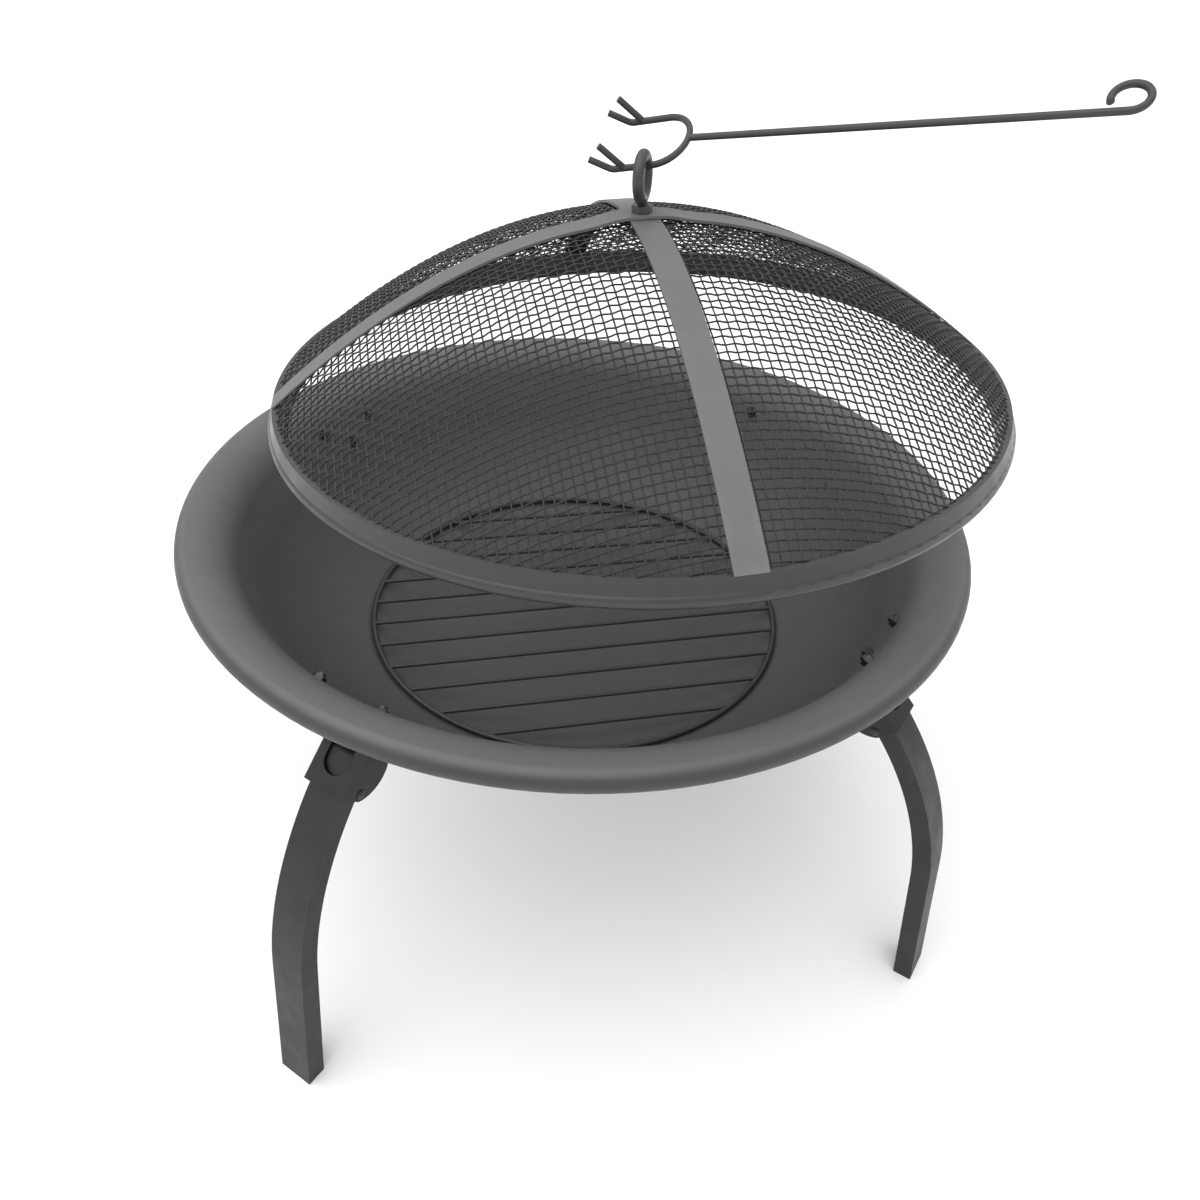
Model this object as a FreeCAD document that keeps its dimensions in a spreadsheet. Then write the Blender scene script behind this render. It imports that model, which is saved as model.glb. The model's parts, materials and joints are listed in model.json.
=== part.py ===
import FreeCAD, Part
import math
import os
import Sketcher

# Folding garden fire bowl on four legs, with a wire grate, a mesh spark lid and a hooked poker.
# Frame: origin on the ground under the bowl's axis, +Z up, -Y towards the front.
# The legs stand at 45 degrees to X and Y. The lid is held up on the poker, a little to the right.

doc = FreeCAD.newDocument("FireBowl")
sheet = doc.addObject("Spreadsheet::Sheet", "Dims")

DIMENSIONS = [
    # bowl, pressed from one sheet
    ("crest_height", 312.8, "height of the rim's crest above the ground"),
    ("bowl_sheet", 1.2, "sheet thickness of the bowl"),
    ("flat_radius", 92, "radius of the bowl's flat bottom"),
    ("wall_arc", 160.8, "radius of the bowl's wall in section"),
    ("bowl_depth", 123.8, "inside depth below the crest"),
    ("crest_reach", 272, "rim's crest, distance from the bowl's axis"),
    ("roll_arc", 8, "radius of the rim's rolled edge"),
    ("roll_turn", 165, "angle at which the rolled edge stops"),
    # legs
    ("leg_azimuth", 45, "angle of the first leg from +X"),
    ("pivot_reach", 244.5, "leg pivot, distance from the bowl's axis"),
    ("pivot_drop", 68.8, "leg pivot below the crest"),
    ("leg_lean", 46.5, "leg direction at the pivot, from straight down"),
    ("foot_lean", 6.6, "leg direction at the foot, from straight down"),
    ("leg_arc", 230, "radius of the leg's outer face"),
    ("leg_width", 26.5, "leg tube width"),
    ("leg_depth", 13.4, "leg tube depth"),
    ("leg_wall", 1.5, "leg tube wall"),
    # leg brackets
    ("leg_gap", 0.35, "side clearance of a leg in its bracket"),
    ("cheek", 2.2, "bracket cheek and web thickness"),
    ("cheek_arc", 20.6, "radius of the bracket's round cheeks"),
    ("cheek_drop", 4, "centre of that radius below the pivot, along the leg"),
    ("bracket_reach", 23, "length of the bracket below the pivot, along the leg"),
    ("web_rise", 24, "length of the bracket's web above the pivot, along the leg"),
    ("slot_room", 1.5, "room over the leg's round top in its bracket"),
    ("window_radius", 9.2, "round end of the window in the bracket's web"),
    ("window_drop", 4.4, "centre of the window's end below the pivot, along the leg"),
    ("window_rise", 6, "top of the window above the pivot, along the leg"),
    ("block_top", 29.1, "angle where the bracket's web meets the bowl's wall"),
    ("block_bottom", 35.45, "angle where the bracket's cheeks meet the bowl's wall"),
    ("plate", 2.5, "bracket mounting plate thickness"),
    ("plate_spread", 16.5, "angle the mounting plate covers round the bowl"),
    ("plate_top", 59, "angle of the plate's top edge round the rim's flare"),
    ("plate_bottom", 34, "angle of the plate's bottom edge down the wall arc"),
    ("pin_radius", 3, "leg pivot pin"),
    ("pin_fit", 0.1, "radial clearance of a leg on its pin"),
    ("stud_radius", 2.2, "detent stud in a cheek"),
    ("stud_along", 18, "detent stud, along the leg from the pivot"),
    ("stud_behind", 6.4, "detent stud, behind the leg's centreline"),
    ("stud_brim", 1, "overhang of a stud's head"),
    ("stud_edge", 0.4, "height of the edge of a stud's head"),
    ("stud_cap", 1.1, "height of the round cap on a stud"),
    ("recess_radius", 8.5, "recess round the lower screw head"),
    # screws and nuts
    ("screw_radius", 2.5, "screw shank"),
    ("screw_length", 9.4, "screw length under the head"),
    ("head_radius", 4.6, "screw head"),
    ("head_height", 2.8, "screw head height"),
    ("head_edge", 1, "height of the edge of a screw head"),
    ("cross_length", 5.4, "length of a cross slot"),
    ("cross_width", 1.1, "width of a cross slot"),
    ("cross_depth", 1.3, "depth of a cross slot"),
    ("tip_chamfer", 0.5, "chamfer on a screw's tip"),
    ("nut_flats", 8, "nut across flats"),
    ("nut_height", 3.6, "nut height"),
    ("nut_easing", 4.44, "radius of the easing on a nut's end corners"),
    ("nut_gap", 0.1, "clearance of a nut from the bowl's wall"),
    ("upper_screw", 22.6, "angle of the upper screws down the wall arc"),
    ("lower_screw", 28.5, "angle of the lower screw down the wall arc"),
    ("screw_spread", 5.93, "angle of an upper screw to each side of its leg"),
    # grate
    ("grate_radius", 157.1, "grate ring, centre of the wire"),
    ("grate_drop", 107.4, "grate ring below the crest"),
    ("ring_wire", 2.0, "grate ring wire radius"),
    ("bar_wire", 1.5, "grate bar wire radius"),
    # lid, in its own frame with the rim's lower edge at height 0
    ("lid_radius", 244, "outer radius of the lid's rolled edge"),
    ("bead_arc", 5, "radius of the rolled edge"),
    ("bead_turn", 50, "angle above level where the band leaves the rolled edge"),
    ("lid_band", 17, "height of the lid's band"),
    ("band_top", 239.6, "outer radius at the band's top edge"),
    ("band_sheet", 4.4, "thickness of the band's folded sheet"),
    ("flange_reach", 6.5, "width of the lower flange inside the bead's centre"),
    ("dome_rise", 98, "height of the mesh dome above the band"),
    ("dome_power", 1.9, "power of the dome's profile"),
    ("dome_blend", 0.02, "rounding of the dome's top"),
    ("mesh_radius", 236.8, "outer radius of the mesh where it enters the band"),
    ("mesh_sheet", 1.0, "thickness of the shell that stands for the woven mesh"),
    ("mesh_room", 0.9, "room for the crossed wires over and under that shell"),
    ("strap_width", 18.5, "strap width"),
    ("strap_sheet", 1.8, "strap thickness"),
    ("strap_gap", 0.25, "gap between the straps where they cross"),
    ("step_place", 21.3, "upper strap's step, distance from the middle"),
    ("step_run", 2.6, "softness of the upper strap's step"),
    ("lid_lift", 80.7, "height of the raised lid's edge above the crest"),
    ("lid_shift", 37.4, "sideways shift of the raised lid"),
    ("lid_heading", -12, "direction of the shift from +X"),
    ("lid_tilt", 2.95, "tilt of the raised lid, its right side high"),
    # lid handle
    ("stem_radius", 3, "stem of the eye"),
    ("stem_fit", 0.1, "clearance round the stem, and under the collar"),
    ("stem_tail", 8.4, "length of the stem below the mesh"),
    ("washer_radius", 7.25, "washer under the mesh"),
    ("washer_sheet", 1.2, "washer thickness"),
    ("tail_nut_flats", 10, "nut on the stem, across flats"),
    ("tail_nut_height", 5, "nut on the stem, height"),
    ("collar_circle", 6.6, "corner radius of the hexagon collar"),
    ("collar_height", 4.5, "height of the collar"),
    ("eye_radius", 12.2, "eye, centre of the wire"),
    ("eye_wire", 3.6, "eye wire radius"),
    ("eye_heading", -26, "direction of the eye's opening from +X"),
    # poker, in its own frame with the fork's crown at the origin and the rod along +X
    ("poker_wire", 2.0, "poker wire radius"),
    ("rod_length", 232, "straight length of the rod"),
    ("loop_radius", 9, "hand loop, centre of the wire"),
    ("loop_turn", 285, "angle through which the hand loop turns"),
    ("fork_radius", 18.9, "half the fork's width, centre of the wire"),
    ("prong_reach", 45.5, "from the crown to the bend of a prong"),
    ("prong_dip", 3.2, "fall of a prong at its bend"),
    ("tip_run", 12.5, "length of a prong's tip along the poker"),
    ("tip_rise", 8.6, "rise of a prong's tip"),
    ("tip_bend", 7, "radius of the bend at a prong's tip"),
    ("tine_start", 37, "from the crown to the root of a side tine"),
    ("tine_run", 10.5, "length of a side tine along the poker"),
    ("tine_rise", 17.5, "rise of a side tine"),
    ("hook_place", 24.1, "from the crown to the eye of the lid"),
    ("hook_gap", 0.3, "gap between the prong and the eye it carries"),
    ("poker_heading", -39.3, "direction of the rod from +X"),
    ("poker_rise", 11.4, "rise of the rod towards the hand"),
    ("poker_roll", 33.1, "turn of the fork about the rod"),
]

GRATE_BARS = 11
CURVE_POINTS = 24
CORNERS = {"front_right": -1, "back_right": 0, "back_left": 1, "front_left": 2}

for row, (alias, number, note) in enumerate(DIMENSIONS, start=1):
    sheet.set(f"A{row}", note)
    sheet.set(f"B{row}", str(number))
    sheet.setAlias(f"B{row}", alias)
doc.recompute()


def dim(alias):
    return float(sheet.get(alias))


def sin(degrees):
    return math.sin(math.radians(degrees))


def cos(degrees):
    return math.cos(math.radians(degrees))


# ---------------------------------------------------------------- sketch helpers

def origin_plane(body, role):
    return next(item for item in body.Origin.OriginFeatures if item.Role == role)


def new_body(label):
    body = doc.addObject("PartDesign::Body", label)
    body.Label = label
    return body


def new_sketch(body, name, role="XZ_Plane"):
    sketch = body.newObject("Sketcher::SketchObject", f"{body.Name}_{name}")
    sketch.AttachmentSupport = (origin_plane(body, role), [""])
    sketch.MapMode = "FlatFace"
    return sketch


def evaluate(expression):
    found = sheet.evalExpression(expression.replace("Dims.", ""))
    return float(getattr(found, "Value", found))


def arc_between(start, end, radius, turn):
    """The short arc from start to end. turn is +1 anticlockwise and -1 clockwise."""
    chord = end - start
    middle = (start + end) * 0.5
    height = math.sqrt(max(radius ** 2 - (chord.Length / 2) ** 2, 0))
    side = FreeCAD.Vector(-chord.y, chord.x, 0).normalize()
    centre = middle + side * height * turn
    half_circle = height < 1e-6
    outward = -side * turn if half_circle else (middle - centre).normalize()
    bulge = centre + outward * radius
    return Part.Arc(start, bulge, end)


def draw_loop(sketch, sides):
    """A closed loop. Each side is (x, y) for a line to that point from the one before,
    or (x, y, radius, turn) for an arc; x, y and radius are expressions on the sheet."""
    points = [FreeCAD.Vector(evaluate(side[0]), evaluate(side[1]), 0) for side in sides]
    handles = []
    for index, side in enumerate(sides):
        start, end = points[index - 1], points[index]
        if len(side) == 2:
            curve, first, last = Part.LineSegment(start, end), 1, 2
        elif side[3] > 0:
            curve, first, last = arc_between(start, end, evaluate(side[2]), 1), 1, 2
        else:
            curve, first, last = arc_between(end, start, evaluate(side[2]), 1), 2, 1
        handles.append((sketch.addGeometry(curve, False), first, last))
    for index, side in enumerate(sides):
        geometry, first, last = handles[index]
        before, _, before_last = handles[index - 1]
        sketch.addConstraint(Sketcher.Constraint("Coincident", before, before_last, geometry, first))
        bind(sketch, ("DistanceX", -1, 1, geometry, last), points[index].x, side[0])
        bind(sketch, ("DistanceY", -1, 1, geometry, last), points[index].y, side[1])
        if len(side) == 4:
            bind(sketch, ("Radius", geometry), evaluate(side[2]), side[2])


def draw_circle(sketch, x, y, radius):
    centre = FreeCAD.Vector(evaluate(x), evaluate(y), 0)
    circle = sketch.addGeometry(Part.Circle(centre, FreeCAD.Vector(0, 0, 1), evaluate(radius)), False)
    bind(sketch, ("DistanceX", -1, 1, circle, 3), centre.x, x)
    bind(sketch, ("DistanceY", -1, 1, circle, 3), centre.y, y)
    bind(sketch, ("Radius", circle), evaluate(radius), radius)


def bind(sketch, constraint, number, expression):
    """Add a dimension to a sketch and tie it to the sheet."""
    index = sketch.addConstraint(Sketcher.Constraint(*constraint, number))
    sketch.setExpression(f"Constraints[{index}]", expression)


def revolve(body, sketch, name, angle=None):
    feature = body.newObject("PartDesign::Revolution", f"{body.Name}_{name}")
    feature.Profile = sketch
    feature.ReferenceAxis = (sketch, ["V_Axis"])
    if angle:
        feature.Midplane = True
        feature.setExpression("Angle", angle)
    return feature


def pad(body, sketch, name, length):
    feature = body.newObject("PartDesign::Pad", f"{body.Name}_{name}")
    feature.Profile = sketch
    feature.SideType = "Symmetric"
    feature.setExpression("Length", length)
    return feature


def pocket(body, sketch, name, length):
    feature = body.newObject("PartDesign::Pocket", f"{body.Name}_{name}")
    feature.Profile = sketch
    feature.SideType = "Symmetric"
    feature.setExpression("Length", length)
    return feature


def cylinder(name, radius, height, placement=None):
    tool = doc.addObject("Part::Cylinder", name)
    tool.setExpression("Radius", radius)
    tool.setExpression("Height", height)
    if placement:
        tool.Placement = placement
    return tool


def boolean(kind, label, base, tool):
    result = doc.addObject(f"Part::{kind}", label)
    result.Label = label
    result.Base = base
    result.Tool = tool
    return result


def shape_feature(label, shape, placement=None):
    """A sub-part whose outline is a free curve or a bent wire."""
    feature = doc.addObject("Part::Feature", label)
    feature.Label = label
    feature.Shape = shape
    if placement:
        feature.Placement = placement
    return feature


# ---------------------------------------------------------------- places

def turned(azimuth):
    return FreeCAD.Placement(FreeCAD.Vector(), FreeCAD.Rotation(FreeCAD.Vector(0, 0, 1), azimuth))


def corner_azimuth(corner):
    return dim("leg_azimuth") + 90 * CORNERS[corner]


def screw_place(angle_down, azimuth, offset):
    """A frame on the wall arc, its Z axis square to the wall and pointing out of the bowl."""
    reach = dim("wall_arc") + offset
    centre_height = dim("crest_height") - dim("bowl_depth") + dim("wall_arc")
    along, drop = reach * cos(angle_down), reach * sin(angle_down)
    point = FreeCAD.Vector(dim("flat_radius") + along, 0, centre_height - drop)
    tip = FreeCAD.Rotation(FreeCAD.Vector(0, 1, 0), 90 + angle_down)
    return turned(azimuth) * FreeCAD.Placement(point, tip)


def screw_places(corner, offset):
    azimuth, spread = corner_azimuth(corner), dim("screw_spread")
    return [
        screw_place(dim("upper_screw"), azimuth - spread, offset),
        screw_place(dim("upper_screw"), azimuth + spread, offset),
        screw_place(dim("lower_screw"), azimuth, offset),
    ]


def leg_point(along, outward):
    """Expressions for a point in the leg's plane, from the pivot along and square to the leg."""
    x = f"Dims.pivot_reach + ({along}) * sin(Dims.leg_lean * 1deg) + ({outward}) * cos(Dims.leg_lean * 1deg)"
    y = (f"Dims.crest_height - Dims.pivot_drop - ({along}) * cos(Dims.leg_lean * 1deg)"
         f" + ({outward}) * sin(Dims.leg_lean * 1deg)")
    return x, y


def wall_point(angle_down, offset):
    """Expressions for a point near the wall arc, offset outwards from the bowl's inner face."""
    x = f"Dims.flat_radius + (Dims.wall_arc + {offset}) * cos({angle_down} * 1deg)"
    y = (f"Dims.crest_height - Dims.bowl_depth + Dims.wall_arc"
         f" - (Dims.wall_arc + {offset}) * sin({angle_down} * 1deg)")
    return x, y


# ---------------------------------------------------------------- bowl

RUN = "(Dims.crest_reach - Dims.flat_radius)"
WALL_Y = "(Dims.crest_height - Dims.bowl_depth + Dims.wall_arc)"
# The flare that joins the wall to the rim touches both the wall's arc and the crest.
FLARE = f"(({RUN}^2 + (Dims.wall_arc - Dims.bowl_depth)^2 - Dims.wall_arc^2) / (2 * Dims.bowl_depth))"
SPAN = f"(Dims.wall_arc + {FLARE})"
FALL = f"(Dims.wall_arc - Dims.bowl_depth + {FLARE})"


def join_point(offset):
    """Where the wall's arc meets the rim's flare, offset outwards from the bowl's inner face."""
    wall = f"(Dims.wall_arc + {offset})"
    return f"Dims.flat_radius + {wall} * {RUN} / {SPAN}", f"{WALL_Y} - {wall} * {FALL} / {SPAN}"


def flare_point(turn, offset):
    """A point on the rim's flare, turned from straight up towards the axis."""
    reach = f"({FLARE} - {offset})"
    return (f"Dims.crest_reach - {reach} * sin({turn} * 1deg)",
            f"Dims.crest_height - {FLARE} + {reach} * cos({turn} * 1deg)")


def bowl_face(offset):
    """The section of one face of the bowl's sheet, from the flat bottom to the rolled edge."""
    roll = f"(Dims.roll_arc - {offset})"
    return [
        ("Dims.flat_radius", f"Dims.crest_height - Dims.bowl_depth - {offset}"),
        join_point(offset) + (f"Dims.wall_arc + {offset}", 1),
        ("Dims.crest_reach", f"Dims.crest_height - {offset}", f"{FLARE} - {offset}", -1),
        (f"Dims.crest_reach + {roll} * sin(Dims.roll_turn * 1deg)",
         f"Dims.crest_height - Dims.roll_arc + {roll} * cos(Dims.roll_turn * 1deg)", roll, -1),
    ]


def reversed_path(path, start):
    """The same open path drawn from its last point back to start."""
    sides = []
    for index in range(len(path) - 1, -1, -1):
        goal = path[index - 1][:2] if index else start
        side = path[index]
        sides.append(tuple(goal) + ((side[2], -side[3]) if len(side) == 4 else ()))
    return sides


def make_bowl():
    body = new_body("bowl_pressing")
    sketch = new_sketch(body, "section")
    inner, outer = bowl_face("0"), bowl_face("Dims.bowl_sheet")
    axis_floor = "Dims.crest_height - Dims.bowl_depth"
    draw_loop(sketch, inner + [outer[-1][:2]] + reversed_path(outer, ("0", f"{axis_floor} - Dims.bowl_sheet"))
              + [("0", axis_floor)])
    revolve(body, sketch, "dish")
    holes = doc.addObject("Part::Compound", "bowl_screw_holes")
    places = [place for corner in CORNERS for place in screw_places(corner, -dim("screw_radius"))]
    holes.Links = [cylinder(f"bowl_hole_{index}", "Dims.screw_radius", "2 * Dims.screw_radius", place)
                   for index, place in enumerate(places)]
    return boolean("Cut", "bowl", body, holes)


# ---------------------------------------------------------------- legs and brackets

def make_leg(corner):
    """A flat-sided tube bowed outwards, closed round the pivot and open at the foot."""
    body = new_body(f"leg_{corner}")
    half = "Dims.leg_depth / 2"
    bow_x, bow_y = leg_point("0", f"({half} - Dims.leg_arc)")

    def bow(radius, lean):
        return f"{bow_x} + ({radius}) * cos({lean} * 1deg)", f"{bow_y} + ({radius}) * sin({lean} * 1deg)"

    def foot(radius, height):
        x, y = bow(radius, "Dims.foot_lean")
        return f"{x} + ({y} - ({height})) * tan(Dims.foot_lean * 1deg)", height

    def section(wall, foot_height):
        outer, inner = f"Dims.leg_arc - {wall}", f"Dims.leg_arc - Dims.leg_depth + {wall}"
        top = f"({half} - {wall})"
        return [
            leg_point(f"-{top}", "0") + (top, -1),
            leg_point("0", top) + (top, -1),
            bow(outer, "Dims.foot_lean") + (outer, -1),
            foot(outer, foot_height),
            foot(inner, foot_height),
            bow(inner, "Dims.foot_lean"),
            leg_point("0", f"-{top}") + (inner, 1),
        ]

    outside = new_sketch(body, "outside")
    draw_loop(outside, section("0", "0"))
    pad(body, outside, "tube", "Dims.leg_width")
    inside = new_sketch(body, "inside")
    draw_loop(inside, section("Dims.leg_wall", "-1"))
    pocket(body, inside, "hollow", "Dims.leg_width - 2 * Dims.leg_wall")
    hole = new_sketch(body, "hole")
    draw_circle(hole, *leg_point("0", "0"), "Dims.pin_radius + Dims.pin_fit")
    pocket(body, hole, "pivot_hole", "Dims.leg_width + 2")
    body.Placement = turned(corner_azimuth(corner))
    return body


BRACKET_WIDTH = "(Dims.leg_width + 2 * Dims.leg_gap + 2 * Dims.cheek)"
SLOT_WIDTH = "(Dims.leg_width + 2 * Dims.leg_gap)"


def sideways(along, outward, start):
    """A frame in the leg's plane with its Z axis along the pivot, started to one side."""
    x, y = leg_point(along, outward)
    turn = FreeCAD.Rotation(FreeCAD.Vector(1, 0, 0), -90)
    return FreeCAD.Placement(FreeCAD.Vector(evaluate(x), start, evaluate(y)), turn)


def bracket_body(corner):
    """Two round cheeks and a web outside the leg, on a plate that follows the bowl's wall."""
    body = new_body(f"bracket_pressing_{corner}")
    web = "Dims.leg_depth / 2 + Dims.leg_gap + Dims.cheek"
    heel = "sqrt(Dims.cheek_arc^2 - (Dims.bracket_reach - Dims.cheek_drop)^2)"
    arc_x, arc_y = leg_point("Dims.cheek_drop", "0")
    wall_face = "Dims.wall_arc + Dims.bowl_sheet"
    block = new_sketch(body, "cheeks")
    draw_loop(block, [
        wall_point("Dims.block_top", "Dims.bowl_sheet") + (wall_face, 1),
        leg_point("-Dims.web_rise", web),
        leg_point("Dims.bracket_reach", web),
        leg_point("Dims.bracket_reach", f"-{heel}"),
        (f"{arc_x} - Dims.cheek_arc", arc_y, "Dims.cheek_arc", -1),
        wall_point("Dims.block_bottom", "Dims.bowl_sheet"),
    ])
    pad(body, block, "block", BRACKET_WIDTH)

    slot = new_sketch(body, "slot")
    slot_top = "-(Dims.leg_depth / 2 + Dims.slot_room)"
    slot_face = "Dims.leg_depth / 2 + Dims.leg_gap"
    past_end = "2 * Dims.bracket_reach"
    past_back = "-2 * Dims.cheek_arc"
    draw_loop(slot, [
        leg_point(slot_top, slot_face),
        leg_point(past_end, slot_face),
        leg_point(past_end, past_back),
        leg_point(slot_top, past_back),
    ])
    pocket(body, slot, "leg_slot", SLOT_WIDTH)

    plate = new_sketch(body, "plate")
    far = "(Dims.bowl_sheet + Dims.plate)"
    draw_loop(plate, [
        join_point("Dims.bowl_sheet") + (wall_face, 1),
        flare_point("Dims.plate_top", "Dims.bowl_sheet") + (f"{FLARE} - Dims.bowl_sheet", -1),
        flare_point("Dims.plate_top", far),
        join_point(far) + (f"{FLARE} - {far}", 1),
        wall_point("Dims.plate_bottom", far) + (f"Dims.wall_arc + {far}", -1),
        wall_point("Dims.plate_bottom", "Dims.bowl_sheet"),
    ])
    revolve(body, plate, "mounting_plate", "Dims.plate_spread")
    return body


def web_window(corner):
    """The window in the web that shows the leg's round top: a square hole with one round end."""
    x, y = leg_point("Dims.window_drop", "Dims.leg_depth / 2")
    face = FreeCAD.Rotation(FreeCAD.Vector(0, 1, 0), 90 - dim("leg_lean"))
    deep, wide = "2 * Dims.cheek", "2 * Dims.window_radius"
    end = FreeCAD.Placement(FreeCAD.Vector(evaluate(x), 0, evaluate(y)), face)
    opening = doc.addObject("Part::Box", f"window_{corner}")
    opening.setExpression("Length", "Dims.window_drop + Dims.window_rise")
    opening.setExpression("Width", wide)
    opening.setExpression("Height", deep)
    back = FreeCAD.Vector(-dim("window_drop") - dim("window_rise"), -dim("window_radius"), 0)
    opening.Placement = end * FreeCAD.Placement(back, FreeCAD.Rotation())
    return [cylinder(f"window_end_{corner}", "Dims.window_radius", deep, end), opening]


def make_bracket(corner):
    body = bracket_body(corner)
    upright = turned(-corner_azimuth(corner))
    starts = enumerate(screw_places(corner, -dim("plate")))
    holes = [(f"bracket_hole_{corner}_{index}", upright * place) for index, place in starts]
    tools = [cylinder(name, "Dims.screw_radius", "Dims.screw_length", place) for name, place in holes]
    seat = upright * screw_places(corner, dim("bowl_sheet") + dim("plate"))[2]
    tools.append(cylinder(f"bracket_recess_{corner}", "Dims.recess_radius", BRACKET_WIDTH, seat))
    far_side = -evaluate(BRACKET_WIDTH) / 2 - 1
    through = f"{BRACKET_WIDTH} + 2"
    pivot = sideways("0", "0", far_side)
    tools.append(cylinder(f"bracket_pivot_{corner}", "Dims.pin_radius", through, pivot))
    stud = sideways("Dims.stud_along", "-Dims.stud_behind", far_side)
    tools.append(cylinder(f"bracket_stud_{corner}", "Dims.stud_radius", through, stud))
    cuts = doc.addObject("Part::Compound", f"bracket_cuts_{corner}")
    cuts.Links = tools + web_window(corner)
    bracket = boolean("Cut", f"leg_bracket_{corner}", body, cuts)
    bracket.Placement = turned(corner_azimuth(corner))
    return bracket


def make_pivot_pin(corner):
    place = turned(corner_azimuth(corner)) * sideways("0", "0", -evaluate(BRACKET_WIDTH) / 2)
    pin = cylinder(f"pivot_pin_{corner}", "Dims.pin_radius", BRACKET_WIDTH, place)
    pin.Label = f"pivot_pin_{corner}"
    return pin


def cap_radius(half_width, height):
    """The radius of a round cap of a given half width and height."""
    return f"(({half_width})^2 + ({height})^2) / (2 * ({height}))"


def stud_pattern():
    """One detent stud: a shank as long as the cheek is thick, and a low round head."""
    body = new_body("stud_pattern")
    sketch = new_sketch(body, "section")
    brim = "Dims.stud_radius + Dims.stud_brim"
    draw_loop(sketch, [
        ("0", "-Dims.cheek"),
        ("Dims.stud_radius", "-Dims.cheek"),
        ("Dims.stud_radius", "0"),
        (brim, "0"),
        (brim, "Dims.stud_edge"),
        ("0", "Dims.stud_edge + Dims.stud_cap", cap_radius(brim, "Dims.stud_cap"), 1),
    ])
    revolve(body, sketch, "stud")
    return body


def screw_pattern():
    """One pan-head screw, its head's seat at height 0 and its shank below."""
    body = new_body("screw_pattern")
    sketch = new_sketch(body, "section")
    draw_loop(sketch, [
        ("0", "-Dims.screw_length"),
        ("Dims.screw_radius - Dims.tip_chamfer", "-Dims.screw_length"),
        ("Dims.screw_radius", "Dims.tip_chamfer - Dims.screw_length"),
        ("Dims.screw_radius", "0"),
        ("Dims.head_radius", "0"),
        ("Dims.head_radius", "Dims.head_edge"),
        ("0", "Dims.head_height", cap_radius("Dims.head_radius", "Dims.head_height - Dims.head_edge"), 1),
    ])
    revolve(body, sketch, "turned")
    long_half, short_half = "Dims.cross_length / 2", "Dims.cross_width / 2"
    for name, x, y in (("slot_a", long_half, short_half), ("slot_b", short_half, long_half)):
        cross = new_sketch(body, name, "XY_Plane")
        draw_loop(cross, [(x, y), (f"-{x}", y), (f"-{x}", f"-{y}"), (x, f"-{y}")])
        cross.setExpression("AttachmentOffset.Base.z", "Dims.head_height - Dims.cross_depth")
        cut = body.newObject("PartDesign::Pocket", f"screw_{name}")
        cut.Profile = cross
        cut.Reversed = True
        cut.setExpression("Length", "Dims.head_height")
    return body


def nut_pattern():
    """One hexagon nut below height 0, its corners eased."""
    prism = doc.addObject("Part::Prism", "nut_prism")
    prism.Polygon = 6
    prism.setExpression("Circumradius", "Dims.nut_flats / 2 / cos(30deg)")
    prism.setExpression("Height", "Dims.nut_height")
    ball = doc.addObject("Part::Sphere", "nut_easing")
    ball.setExpression("Radius", "sqrt(Dims.nut_easing^2 + (Dims.nut_height / 2)^2)")
    ball.setExpression("Placement.Base.z", "Dims.nut_height / 2")
    eased = boolean("Common", "nut_eased", prism, ball)
    thread = cylinder("nut_thread", "Dims.screw_radius", "3 * Dims.nut_height")
    thread.setExpression("Placement.Base.z", "-Dims.nut_height")
    return boolean("Cut", "nut_pattern", eased, thread)


def copies(label, pattern, places):
    """One node of several equal solids."""
    doc.recompute()
    solids = []
    for place in places:
        solid = pattern.Shape.copy()
        solid.Placement = place * pattern.Shape.Placement
        solids.append(solid)
    return shape_feature(label, Part.makeCompound(solids))


def make_fasteners(corner, screw, nut, stud):
    outer_face = dim("bowl_sheet") + dim("plate")
    half = evaluate(BRACKET_WIDTH) / 2
    flip = FreeCAD.Placement(FreeCAD.Vector(), FreeCAD.Rotation(FreeCAD.Vector(1, 0, 0), 180))
    corner_turn = turned(corner_azimuth(corner))
    stud_places = [corner_turn * sideways("Dims.stud_along", "-Dims.stud_behind", half),
                   corner_turn * sideways("Dims.stud_along", "-Dims.stud_behind", -half) * flip]
    return [
        copies(f"bracket_screws_{corner}", screw, screw_places(corner, outer_face)),
        copies(f"bracket_nuts_{corner}", nut, screw_places(corner, -dim("nut_height") - dim("nut_gap"))),
        copies(f"detent_studs_{corner}", stud, stud_places),
    ]


# ---------------------------------------------------------------- grate

def make_grate():
    height = dim("crest_height") - dim("grate_drop")
    ring = doc.addObject("Part::Torus", "grate_ring")
    ring.setExpression("Radius1", "Dims.grate_radius")
    ring.setExpression("Radius2", "Dims.ring_wire")
    ring.setExpression("Placement.Base.z", "Dims.crest_height - Dims.grate_drop")
    pieces = [ring]
    along_x = FreeCAD.Rotation(FreeCAD.Vector(0, 1, 0), 90)
    for index in range(GRATE_BARS):
        step = index - (GRATE_BARS - 1) // 2
        offset = f"({step} * 2 * Dims.grate_radius / {GRATE_BARS + 1})"
        half = f"sqrt((Dims.grate_radius - Dims.ring_wire / 2)^2 - {offset}^2)"
        place = FreeCAD.Placement(FreeCAD.Vector(-evaluate(half), evaluate(offset), height), along_x)
        bar = cylinder(f"grate_bar_{index + 1:02d}", "Dims.bar_wire", f"2 * {half}", place)
        pieces.append(bar)
    return pieces


# ---------------------------------------------------------------- lid

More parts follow.
